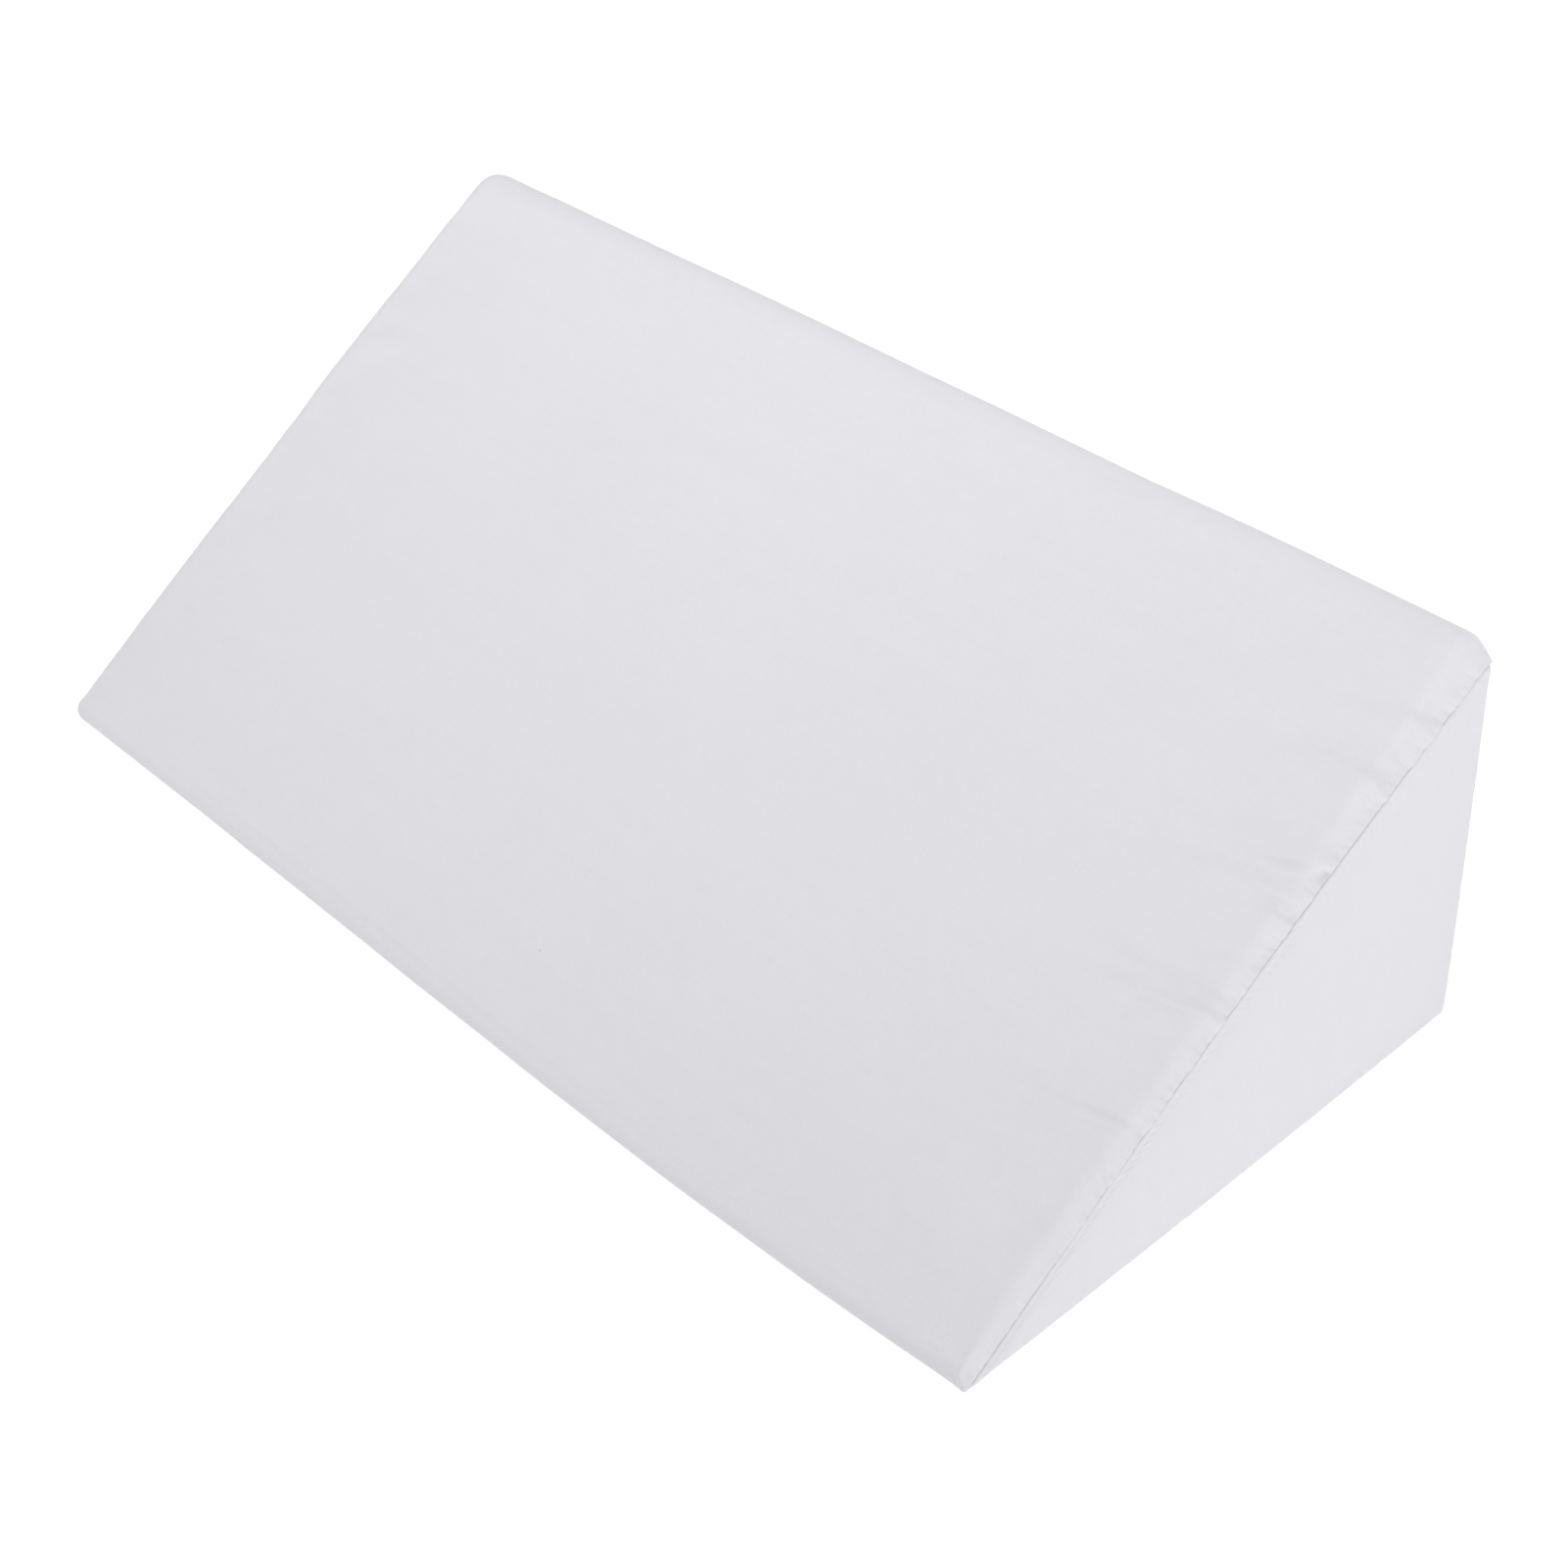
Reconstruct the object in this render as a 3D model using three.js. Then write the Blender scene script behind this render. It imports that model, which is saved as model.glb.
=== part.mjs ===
import * as THREE from 'three';

// Leg elevation cushion: a foam wedge in a fitted white cloth cover, lying on its base.
// Sizes are in millimetres. X runs along the cushion, Y from the thin toe to the upright
// back, Z up from the surface that it rests on. The origin is the middle of the base.

// Overall form, given by the sharp triangle that the rounded section fits into
const LENGTH = 500;
const DEPTH = 260;
const HEIGHT = 172.5;

// Radii of the section's corners. The heel is as round as the back and base edges of an end.
const TOE_RADIUS = 7.3;
const RIDGE_RADIUS = 12;
const EDGE_RADIUS = 3.4;

// How far the filling pushes the cloth out from the straight section
const SLOPE_CROWN = 4;
const SLOPE_CROWN_LEAN = 0.6;
const BACK_CROWN = 1.5;
const TOE_BULGE = 4.7;
const TOE_BULGE_LEAN = 1.78;
const CROWN_SPREAD = 4;

// How far from an end the cloth starts to roll over its edges towards the end panel
const EDGE_ROLL = 9;
const RIDGE_ROLL = 13;
const TOE_ROLL_LEFT = 2.6;
const TOE_ROLL_RIGHT = 1.6;
const ROLL_BLEND = 25;

// Seam of an end panel. Beside the slope it lies on the end itself, measured inwards from the
// sharp triangle: deeper at the ridge than at the toe, and bowed up in the middle. At the back
// and the base the panel turns round the corner, and the seam lies a short lap past the turn.
const SEAM_INSET_SLOPE = 12.9;
const SEAM_TILT = 3.8;
const SEAM_BOW = 4;
const SEAM_LAP = 1.2;
const PANEL_TOE_RADIUS = 3.5;
const PANEL_RIDGE_RADIUS = 2;

// End panel cloth, the dome that the filling gives it, and the gap between sewn pieces
const CLOTH_THICKNESS = 2;
const PANEL_DOME = 1.5;
const SEAM_GAP = 0.3;

// Mesh steps
const ARC_STEPS = 5;
const BASE_STEPS = 6;
const BACK_STEPS = 6;
const SLOPE_STEPS = 12;
const LENGTH_STEPS = 18;
const ROLL_STEPS = 4;
const TURN_STEPS = 3;
const FACE_RINGS = [20, 38];

// Surface finish
const COVER_COLOUR = 0xe4e2e7;
const PANEL_COLOUR = 0xe6e5ea;
const CLOTH_ROUGHNESS = 0.92;

// The frame's middle in Y: halfway between the bulged toe and the crowned back
const TOE_ANGLE = Math.atan2(HEIGHT, DEPTH);
const TOE_TIP = TOE_RADIUS / Math.tan(TOE_ANGLE / 2) - TOE_RADIUS - TOE_BULGE;
const MIDDLE_Y = (TOE_TIP + DEPTH + BACK_CROWN) / 2;

// How far a panel laid out flat reaches past the sharp back and base edges, and the distances
// of its rings from the seam: the lap, steps round the turn, and the face
const QUARTER_TURN = Math.PI / 2;
const TURN_LENGTH = EDGE_RADIUS * QUARTER_TURN;
const OVERHANG = TURN_LENGTH - EDGE_RADIUS + SEAM_LAP;
const TURN_RINGS = Array.from({ length: TURN_STEPS + 1 }, (_, step) => {
  return SEAM_LAP + (TURN_LENGTH * step) / TURN_STEPS;
});
const PANEL_RINGS = [0, ...TURN_RINGS, ...FACE_RINGS];

// One corner of a section rounded by an arc, from its incoming edge to its outgoing edge
function cornerArc(before, corner, after, radius) {
  const back = before.clone().sub(corner).normalize();
  const ahead = after.clone().sub(corner).normalize();
  const halfAngle = Math.acos(back.dot(ahead)) / 2;
  const bisector = back.clone().add(ahead).normalize();
  const centre = corner.clone().addScaledVector(bisector, radius / Math.sin(halfAngle));
  const start = corner.clone().addScaledVector(back, radius / Math.tan(halfAngle));
  const startAngle = start.sub(centre).angle();
  const sweep = Math.PI - 2 * halfAngle;
  const points = [];
  for (let step = 0; step <= ARC_STEPS; step += 1) {
    const angle = startAngle + (sweep * step) / ARC_STEPS;
    const arm = new THREE.Vector2(Math.cos(angle), Math.sin(angle));
    points.push(centre.clone().addScaledVector(arm, radius));
  }
  return points;
}

// The points strictly between two others, with push(share) as their offset along a normal
function edgePoints(from, to, steps, normal, push) {
  const points = [];
  for (let step = 1; step < steps; step += 1) {
    const share = step / steps;
    const point = from.clone().lerp(to, share);
    points.push(point.addScaledVector(normal, push(share)));
  }
  return points;
}

// A rounded triangle in the YZ plane, as one closed walk: toe, base, heel, back, ridge, slope
function roundedTriangle(toe, heel, ridge, radii, backPush, slopePush) {
  const toeArc = cornerArc(ridge, toe, heel, radii.toe);
  const heelArc = cornerArc(toe, heel, ridge, radii.heel);
  const ridgeArc = cornerArc(heel, ridge, toe, radii.ridge);
  const slope = toe.clone().sub(ridge).normalize();
  const slopeNormal = new THREE.Vector2(slope.y, -slope.x);
  const backNormal = new THREE.Vector2(1, 0);
  const noPush = () => 0;
  const last = ARC_STEPS;
  return [
    ...toeArc,
    ...edgePoints(toeArc[last], heelArc[0], BASE_STEPS, backNormal, noPush),
    ...heelArc,
    ...edgePoints(heelArc[last], ridgeArc[0], BACK_STEPS, backNormal, backPush),
    ...ridgeArc,
    ...edgePoints(ridgeArc[last], toeArc[0], SLOPE_STEPS, slopeNormal, slopePush),
  ];
}

// The cushion's section at a station from -1, the left end, to 1, the right end
function bodyOutline(station) {
  const along = (station + 1) / 2;
  const bulge = TOE_BULGE * Math.sin(Math.PI * along ** TOE_BULGE_LEAN);
  const spread = 1 - Math.abs(station) ** CROWN_SPREAD;
  const toe = new THREE.Vector2(-bulge, 0);
  const heel = new THREE.Vector2(DEPTH, 0);
  const ridge = new THREE.Vector2(DEPTH, HEIGHT);
  const radii = { toe: TOE_RADIUS, heel: EDGE_RADIUS, ridge: RIDGE_RADIUS };
  const backPush = (share) => BACK_CROWN * spread * Math.sin(Math.PI * share);
  const slopePush = (share) => {
    const fromToe = (1 - share) ** SLOPE_CROWN_LEAN;
    return SLOPE_CROWN * spread * Math.sin(Math.PI * fromToe);
  };
  return roundedTriangle(toe, heel, ridge, radii, backPush, slopePush);
}

// The straight triangle that an end panel fits into when it is laid out flat in the plane of
// the end
function seamTriangle() {
  const toeInset = SEAM_INSET_SLOPE - SEAM_TILT;
  const ridgeInset = SEAM_INSET_SLOPE + SEAM_TILT;
  const slopeLength = Math.hypot(DEPTH, HEIGHT);
  const along = new THREE.Vector2(DEPTH, HEIGHT).divideScalar(slopeLength);
  const inward = new THREE.Vector2(along.y, -along.x);
  const lowEnd = inward.clone().multiplyScalar(toeInset);
  const highEnd = inward.clone().multiplyScalar(ridgeInset).addScaledVector(along, slopeLength);
  const line = highEnd.clone().sub(lowEnd);
  const yAtBase = lowEnd.x + (line.x * (-OVERHANG - lowEnd.y)) / line.y;
  const backY = DEPTH + OVERHANG;
  const zAtBack = lowEnd.y + (line.y * (backY - lowEnd.x)) / line.x;
  return {
    toe: new THREE.Vector2(yAtBase, -OVERHANG),
    heel: new THREE.Vector2(backY, -OVERHANG),
    ridge: new THREE.Vector2(backY, zAtBack),
  };
}

// The seam line of a flat end panel, walked in step with the body's outline
function seamOutline() {
  const { toe, heel, ridge } = seamTriangle();
  const radii = {
    toe: PANEL_TOE_RADIUS,
    heel: TURN_LENGTH + SEAM_LAP,
    ridge: PANEL_RIDGE_RADIUS,
  };
  const noPush = () => 0;
  const bow = (share) => SEAM_BOW * Math.sin(Math.PI * share);
  return roundedTriangle(toe, heel, ridge, radii, noPush, bow);
}

// How far an end stands out at a point of its seam triangle: nothing along the three sides,
// and the whole dome at the triangle's centroid
function domeHeight(point) {
  const { toe, heel, ridge } = seamTriangle();
  const area = heel.clone().sub(toe).cross(ridge.clone().sub(toe));
  let share = 1;
  for (const [from, to] of [[toe, heel], [heel, ridge], [ridge, toe]]) {
    const part = to.clone().sub(from).cross(point.clone().sub(from)) / area;
    share *= 3 * Math.max(part, 0);
  }
  return PANEL_DOME * share;
}

// A point of a flat end panel, turned over the back and base edges, at a depth below the
// panel's face. It holds the distance from the cushion's middle, then y and z.
function turned(flat, depth) {
  const centre = new THREE.Vector2(
    Math.min(flat.x, DEPTH - EDGE_RADIUS),
    Math.max(flat.y, EDGE_RADIUS),
  );
  const arm = flat.clone().sub(centre);
  const travel = arm.length();
  const angle = Math.min(travel / EDGE_RADIUS, QUARTER_TURN);
  const lap = travel - angle * EDGE_RADIUS;
  const radius = EDGE_RADIUS - depth;
  arm.setLength(radius * Math.sin(angle));
  const reach = LENGTH / 2 - EDGE_RADIUS + radius * Math.cos(angle) - lap + domeHeight(flat);
  return new THREE.Vector3(reach, centre.x + arm.x, centre.y + arm.y);
}

// The middle of the circle that touches a flat panel's three sides: rings that shrink towards
// it keep an even distance from the seam
function panelMiddle() {
  const slopeLength = Math.hypot(DEPTH, HEIGHT);
  const spare = (DEPTH + HEIGHT) * OVERHANG - slopeLength * SEAM_INSET_SLOPE;
  const radius = (DEPTH * HEIGHT + spare) / (DEPTH + HEIGHT + slopeLength);
  const centre = new THREE.Vector2(DEPTH + OVERHANG - radius, radius - OVERHANG);
  return { centre, radius };
}

// A ring of a flat panel at a distance inside its seam
function insetRing(distance) {
  const { centre, radius } = panelMiddle();
  return seamOutline().map((point) => point.lerp(centre, distance / radius));
}

// The sheet of an end panel at a depth below its face, as rings from an edge to the middle
function panelRings(edge, depth) {
  return PANEL_RINGS.map((distance) => {
    return insetRing(Math.max(distance, edge)).map((flat) => turned(flat, depth));
  });
}

// How far from an end each point of the body's section starts to roll. Each corner has its own
// depth, which blends to the plain edge depth, and the roll starts inside the seam.
function rollDepths(outline, seam, toeRoll) {
  const corners = [
    { point: new THREE.Vector2(0, 0), depth: toeRoll },
    { point: new THREE.Vector2(DEPTH, HEIGHT), depth: RIDGE_ROLL },
  ];
  return outline.map((point, index) => {
    let depth = EDGE_ROLL;
    for (const corner of corners) {
      const share = Math.min(point.distanceTo(corner.point) / (2 * ROLL_BLEND), 1);
      depth += (corner.depth - EDGE_ROLL) * (1 - share * share * (3 - 2 * share));
    }
    return Math.max(depth, LENGTH / 2 - seam[index].x + SEAM_LAP);
  });
}

// A point given by its distance from the cushion's middle, y and z, put into the frame
function place(point, side) {
  return new THREE.Vector3(side * point.x, point.y - MIDDLE_Y, point.z);
}

// A four-sided face as two triangles, split along its shorter diagonal
function splitFace(points, [a, b, c, d]) {
  if (points[a].distanceTo(points[c]) < points[b].distanceTo(points[d])) {
    return [a, b, c, a, c, d];
  }
  return [a, b, d, b, c, d];
}

// A closed mesh through a row of rings, with a point at each end. The rings run towards +X.
function closedLoft(rings, firstPoint, lastPoint) {
  const count = rings[0].length;
  const points = [firstPoint, ...rings.flat(), lastPoint];
  const last = points.length - 1;
  const at = (row, index) => 1 + row * count + (index % count);
  const faces = [];
  for (let index = 0; index < count; index += 1) {
    faces.push(0, at(0, index + 1), at(0, index));
    faces.push(last, at(rings.length - 1, index), at(rings.length - 1, index + 1));
    for (let row = 0; row < rings.length - 1; row += 1) {
      const near = [at(row, index), at(row, index + 1)];
      const far = [at(row + 1, index + 1), at(row + 1, index)];
      faces.push(...splitFace(points, [...near, ...far]));
    }
  }
  const geometry = new THREE.BufferGeometry().setFromPoints(points);
  geometry.setIndex(faces);
  geometry.computeVertexNormals();
  return geometry;
}

// One end of the filled body: its full section, where that starts to roll over, and the rings
// outwards over the roll, down to the seat of the end panel and to the middle of the end
function bodyEnd(side) {
  const section = bodyOutline(side);
  const seam = seamOutline().map((flat) => turned(flat, 0));
  const depths = rollDepths(section, seam, side < 0 ? TOE_ROLL_LEFT : TOE_ROLL_RIGHT);
  const rolls = [];
  for (let step = 1; step <= ROLL_STEPS; step += 1) {
    const angle = (QUARTER_TURN * step) / ROLL_STEPS;
    rolls.push(seam.map((end, index) => {
      const start = new THREE.Vector3(LENGTH / 2 - depths[index], ...section[index]);
      const point = start.clone().lerp(end, 1 - Math.cos(angle));
      point.x = start.x + (end.x - start.x) * Math.sin(angle);
      return point;
    }));
  }
  const seatDepth = CLOTH_THICKNESS + SEAM_GAP;
  const rings = [...rolls, ...panelRings(0, seatDepth)];
  const middle = turned(panelMiddle().centre, seatDepth);
  return {
    depths,
    rings: rings.map((points) => points.map((point) => place(point, side))),
    middle: place(middle, side),
  };
}

// The foam in its wrap of cloth, which runs over the slope, the back and the base
function filledBody() {
  const left = bodyEnd(-1);
  const right = bodyEnd(1);
  const middle = [];
  for (let step = 0; step <= LENGTH_STEPS; step += 1) {
    const station = Math.sin(((2 * step) / LENGTH_STEPS - 1) * QUARTER_TURN);
    const { depths } = station < 0 ? left : right;
    middle.push(bodyOutline(station).map((point, index) => {
      const x = station * (LENGTH / 2 - depths[index]);
      return place(new THREE.Vector3(x, ...point), 1);
    }));
  }
  const rings = [...left.rings.reverse(), ...middle, ...right.rings];
  return closedLoft(rings, left.middle, right.middle);
}

// One triangular end panel, a sheet of cloth that the seam holds in the body's end
function endPanel(side) {
  const { centre } = panelMiddle();
  const inner = panelRings(SEAM_GAP, CLOTH_THICKNESS);
  const outer = panelRings(SEAM_GAP, 0);
  const rings = [...inner.reverse(), ...outer].map((points) => {
    return points.map((point) => place(point, side));
  });
  const ends = [turned(centre, CLOTH_THICKNESS), turned(centre, 0)].map((point) => {
    return place(point, side);
  });
  if (side < 0) {
    return closedLoft(rings.reverse(), ends[1], ends[0]);
  }
  return closedLoft(rings, ends[0], ends[1]);
}

// One named mesh with its own cloth material
function clothMesh(name, geometry, colour) {
  const material = new THREE.MeshStandardMaterial({
    color: colour,
    roughness: CLOTH_ROUGHNESS,
    metalness: 0,
  });
  const mesh = new THREE.Mesh(geometry, material);
  mesh.name = name;
  return mesh;
}

const cushion = new THREE.Group();
cushion.add(clothMesh('filled_wedge', filledBody(), COVER_COLOUR));
cushion.add(clothMesh('end_panel_left', endPanel(-1), PANEL_COLOUR));
cushion.add(clothMesh('end_panel_right', endPanel(1), PANEL_COLOUR));

export default cushion;
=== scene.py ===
import math

import bpy
import numpy as np
from mathutils import Matrix, Vector


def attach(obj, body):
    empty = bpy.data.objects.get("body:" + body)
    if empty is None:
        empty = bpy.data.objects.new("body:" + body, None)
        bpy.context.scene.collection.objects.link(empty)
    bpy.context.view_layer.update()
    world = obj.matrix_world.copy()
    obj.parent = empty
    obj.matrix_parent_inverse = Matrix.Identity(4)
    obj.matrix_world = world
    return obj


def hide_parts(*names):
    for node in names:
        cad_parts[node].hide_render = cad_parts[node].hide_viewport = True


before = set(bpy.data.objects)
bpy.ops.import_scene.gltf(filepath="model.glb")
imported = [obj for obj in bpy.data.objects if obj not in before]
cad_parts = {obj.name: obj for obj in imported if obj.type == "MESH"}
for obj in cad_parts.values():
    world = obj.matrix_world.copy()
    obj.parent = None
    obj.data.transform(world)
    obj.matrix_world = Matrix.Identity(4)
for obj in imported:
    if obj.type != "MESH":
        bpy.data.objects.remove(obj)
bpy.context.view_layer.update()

# All sizes are in millimetres unless a comment says otherwise. MM turns them into metres.
MM = 0.001

# The wedge, given by the sharp triangle that its rounded section fits into. The heel has the
# radius of the back and base edges of an end.
LENGTH = 500.0
DEPTH = 260.0
HEIGHT = 172.5
TOE_RADIUS = 7.3
RIDGE_RADIUS = 12.0
EDGE_RADIUS = 3.4
SLOPE_CROWN = 4.0
SLOPE_CROWN_LEAN = 0.6
BACK_CROWN = 1.5
TOE_BULGE = 4.7
TOE_BULGE_LEAN = 1.78
CROWN_SPREAD = 4.0

# How far from an end the cloth starts to roll over its edges. Sides are -1 left and 1 right.
EDGE_ROLL = {-1: 9.0, 1: 8.5}
RIDGE_ROLL = {-1: 13.0, 1: 9.5}
TOE_ROLL = {-1: 2.6, 1: 2.1}
ROLL_BLEND = 25.0
# Above 1, the roll starts more gently and turns more sharply beside the seam
ROLL_POWER = {-1: 1.0, 1: 1.7}

# The seam of an end panel. Beside the slope it is measured inwards from the sharp triangle.
# At the back and the base it lies round the corner, a short lap past the turn.
SEAM_INSET_SLOPE = 12.9
SEAM_TILT = 3.8
SEAM_BOW = 4.0
SEAM_LAP = 1.2
PANEL_TOE_RADIUS = 3.5
PANEL_RIDGE_RADIUS = 6.5
PANEL_DOME = 3.0
PANEL_THICKNESS = 2.0
SEAM_GAP = 0.3

# How the two cloths dip into the seam: width and depth of each side's rounded lip
WRAP_LIP = (0.9, 0.85)
PANEL_LIP = (0.7, 0.85)
# The panel swells a little beside the lip: height, distance of its top and width
LIP_SWELL = 0.25
LIP_SWELL_TOP = 0.6
LIP_SWELL_WIDTH = 1.6
LIP_SWELL_RISE = (-0.2, 0.8)

# Machine stitches, which lie deep in the seam, and the small puckers that start at their holes.
# Along a stitch, its ends are thinner and dip a little deeper.
STITCH_PITCH = 3.6
STITCH_LENGTH = 2.5
STITCH_RADIUS = 0.24
STITCH_DEPTH = 0.9
STITCH_DIP = 0.5
STITCH_SIDES = 6
STITCH_PLACES = (0.0, 0.06, 0.2, 0.5, 0.8, 0.94, 1.0)
STITCH_WIDTHS = (0.35, 0.8, 1.0, 1.0, 1.0, 0.8, 0.35)
DIMPLE_DEPTH = 0.85
DIMPLE_LENGTH = 0.75
DIMPLE_REACH = 4.5
PANEL_DIMPLE_REACH = 2.5
DIMPLE_RISE = 3.0

# Mesh steps
ARC_STEPS = 10
BASE_STEPS = 50
BACK_STEPS = 123
SLOPE_STEPS = 553
ROLL_STEPS = 13
LIP_STEPS = 4
FINE_ROW = 1.0
FINE_ROWS_REACH = 8.0
ROW_GROWTH = 0.12
COARSE_ROW = 12.0

TOE_ANGLE = math.atan2(HEIGHT, DEPTH)
TOE_TIP = TOE_RADIUS / math.tan(TOE_ANGLE / 2) - TOE_RADIUS - TOE_BULGE
MIDDLE_Y = (TOE_TIP + DEPTH + BACK_CROWN) / 2
SLOPE_LENGTH = math.hypot(DEPTH, HEIGHT)


# Smooth random values

NOISE_CELLS = 97
END_SEEDS = {-1: 23, 1: 11}
BROAD_WAVE_SEED = 37
LONG_WAVE_SEED = 41
PANEL_SEEDS = {-1: 53, 1: 67}


def smooth_noise(u, v, cell_u, cell_v, seed):
    """Random values on a grid of cells, joined smoothly, from -1 to 1."""
    table = np.random.default_rng(seed).uniform(-1, 1, (NOISE_CELLS, NOISE_CELLS))
    a, b = u / cell_u + NOISE_CELLS, v / cell_v + NOISE_CELLS
    low_a, low_b = np.floor(a).astype(int), np.floor(b).astype(int)
    fa, fb = a - low_a, b - low_b
    fa = fa * fa * fa * (fa * (6 * fa - 15) + 10)
    fb = fb * fb * fb * (fb * (6 * fb - 15) + 10)

    def at(i, j):
        return table[(low_a + i) % NOISE_CELLS, (low_b + j) % NOISE_CELLS]

    near = at(0, 0) * (1 - fb) + at(0, 1) * fb
    far = at(1, 0) * (1 - fb) + at(1, 1) * fb
    return near * (1 - fa) + far * fa


def smooth_step(low, high, value):
    share = np.clip((value - low) / (high - low), 0, 1)
    return share * share * (3 - 2 * share)


# Outlines in the YZ plane, walked toe, base, heel, back, ridge, slope


def corner_arc(before, corner, after, radius):
    """One corner rounded by an arc, from its incoming edge to its outgoing edge."""
    back = (before - corner) / np.linalg.norm(before - corner)
    ahead = (after - corner) / np.linalg.norm(after - corner)
    half = math.acos(back @ ahead) / 2
    bisector = (back + ahead) / np.linalg.norm(back + ahead)
    centre = corner + bisector * radius / math.sin(half)
    start = corner + back * radius / math.tan(half) - centre
    first = math.atan2(start[1], start[0])
    angles = first + (math.pi - 2 * half) * np.linspace(0, 1, ARC_STEPS + 1)
    return centre + radius * np.stack([np.cos(angles), np.sin(angles)], axis=1)


def no_push(share):
    return 0 * share


def edge_points(start, end, steps, normal, push):
    """The points strictly between two others, pushed along a normal."""
    share = np.arange(1, steps)[:, None] / steps
    return start + (end - start) * share + normal * push(share)


def rounded_triangle(toe, heel, ridge, radii, back_push, slope_push):
    """A triangle with rounded corners, whose back and slope are pushed outwards."""
    toe_arc = corner_arc(ridge, toe, heel, radii[0])
    heel_arc = corner_arc(toe, heel, ridge, radii[1])
    ridge_arc = corner_arc(heel, ridge, toe, radii[2])
    slope = (toe - ridge) / np.linalg.norm(toe - ridge)
    slope_normal = np.array([slope[1], -slope[0]])
    back_normal = np.array([1.0, 0.0])
    return np.concatenate([
        toe_arc,
        edge_points(toe_arc[-1], heel_arc[0], BASE_STEPS, back_normal, no_push),
        heel_arc,
        edge_points(heel_arc[-1], ridge_arc[0], BACK_STEPS, back_normal, back_push),
        ridge_arc,
        edge_points(ridge_arc[-1], toe_arc[0], SLOPE_STEPS, slope_normal, slope_push),
    ])


def body_outline(station):
    """The section at a station from -1, the left end, to 1, the right end."""
    along = (station + 1) / 2
    bulge = TOE_BULGE * math.sin(math.pi * along**TOE_BULGE_LEAN)
    spread = 1 - abs(station) ** CROWN_SPREAD
    toe = np.array([-bulge, 0.0])
    heel = np.array([DEPTH, 0.0])
    ridge = np.array([DEPTH, HEIGHT])

    def back_push(share):
        return BACK_CROWN * spread * np.sin(math.pi * share)

    def slope_push(share):
        return SLOPE_CROWN * spread * np.sin(math.pi * (1 - share) ** SLOPE_CROWN_LEAN)

    radii = (TOE_RADIUS, EDGE_RADIUS, RIDGE_RADIUS)
    return rounded_triangle(toe, heel, ridge, radii, back_push, slope_push)


# How far a panel laid out flat reaches past the sharp back and base edges
TURN_LENGTH = EDGE_RADIUS * math.pi / 2
OVERHANG = TURN_LENGTH - EDGE_RADIUS + SEAM_LAP


def seam_triangle():
    """The triangle that a panel fits into when it is laid out flat: toe, heel, ridge."""
    along = np.array([DEPTH, HEIGHT]) / SLOPE_LENGTH
    inward = np.array([along[1], -along[0]])
    low = inward * (SEAM_INSET_SLOPE - SEAM_TILT)
    high = inward * (SEAM_INSET_SLOPE + SEAM_TILT) + along * SLOPE_LENGTH
    line = high - low
    y_at_base = low[0] + line[0] * (-OVERHANG - low[1]) / line[1]
    back_y = DEPTH + OVERHANG
    z_at_back = low[1] + line[1] * (back_y - low[0]) / line[0]
    return np.array([[y_at_base, -OVERHANG], [back_y, -OVERHANG], [back_y, z_at_back]])


def seam_outline():
    """The seam around a flat panel, walked in step with the body's outline."""
    toe, heel, ridge = seam_triangle()

    def slope_push(share):
        return SEAM_BOW * np.sin(math.pi * share)

    radii = (PANEL_TOE_RADIUS, TURN_LENGTH + SEAM_LAP, PANEL_RIDGE_RADIUS)
    return rounded_triangle(toe, heel, ridge, radii, no_push, slope_push)


def dome_height(points):
    """How far an end stands out at points of its seam triangle."""
    toe, heel, ridge = seam_triangle()

    def cross(a, b):
        return a[..., 0] * b[..., 1] - a[..., 1] * b[..., 0]

    area = cross(heel - toe, ridge - toe)
    share = 1.0
    for start, end in ((toe, heel), (heel, ridge), (ridge, toe)):
        share = share * 3 * np.maximum(cross(end - start, points - start) / area, 0)
    return PANEL_DOME * share


def turned(flat, depth):
    """Points of a flat panel turned over the back and base edges, at a depth below its face:
    the distance from the cushion's middle, then y and z."""
    limit = DEPTH - EDGE_RADIUS, EDGE_RADIUS
    centre = np.stack([np.minimum(flat[:, 0], limit[0]), np.maximum(flat[:, 1], limit[1])], axis=1)
    arm = flat - centre
    travel = np.linalg.norm(arm, axis=1)
    angle = np.minimum(travel / EDGE_RADIUS, math.pi / 2)
    lap = travel - angle * EDGE_RADIUS
    radius = EDGE_RADIUS - depth
    way = arm / np.maximum(travel, 1e-9)[:, None]
    reach = LENGTH / 2 - EDGE_RADIUS + radius * np.cos(angle) - lap + dome_height(flat)
    return np.column_stack([reach, centre + way * (radius * np.sin(angle))[:, None]])


# The middle of the circle that touches a flat panel's sides: rings shrink towards it evenly
PANEL_RADIUS = (
    DEPTH * HEIGHT + (DEPTH + HEIGHT) * OVERHANG - SLOPE_LENGTH * SEAM_INSET_SLOPE
) / (DEPTH + HEIGHT + SLOPE_LENGTH)
PANEL_MIDDLE = np.array([DEPTH + OVERHANG - PANEL_RADIUS, PANEL_RADIUS - OVERHANG])
SEAM = seam_outline()
COLUMNS = len(SEAM)


def inset_ring(ring, inset):
    """A flat ring drawn in towards the panel's middle by an inset."""
    return PANEL_MIDDLE + (ring - PANEL_MIDDLE) * (1 - inset / PANEL_RADIUS)


def outward_normals(ring):
    """Unit normals of a closed flat line that is walked anticlockwise."""
    ahead = np.roll(ring, -1, axis=0) - np.roll(ring, 1, axis=0)
    return np.column_stack([ahead[:, 1], -ahead[:, 0]]) / np.linalg.norm(ahead, axis=1)[:, None]


SEAM_OUTWARD = outward_normals(SEAM)


def beside_seam(distance):
    """The flat line at a small even distance from the seam, outwards if it is positive."""
    return SEAM + SEAM_OUTWARD * distance


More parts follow.
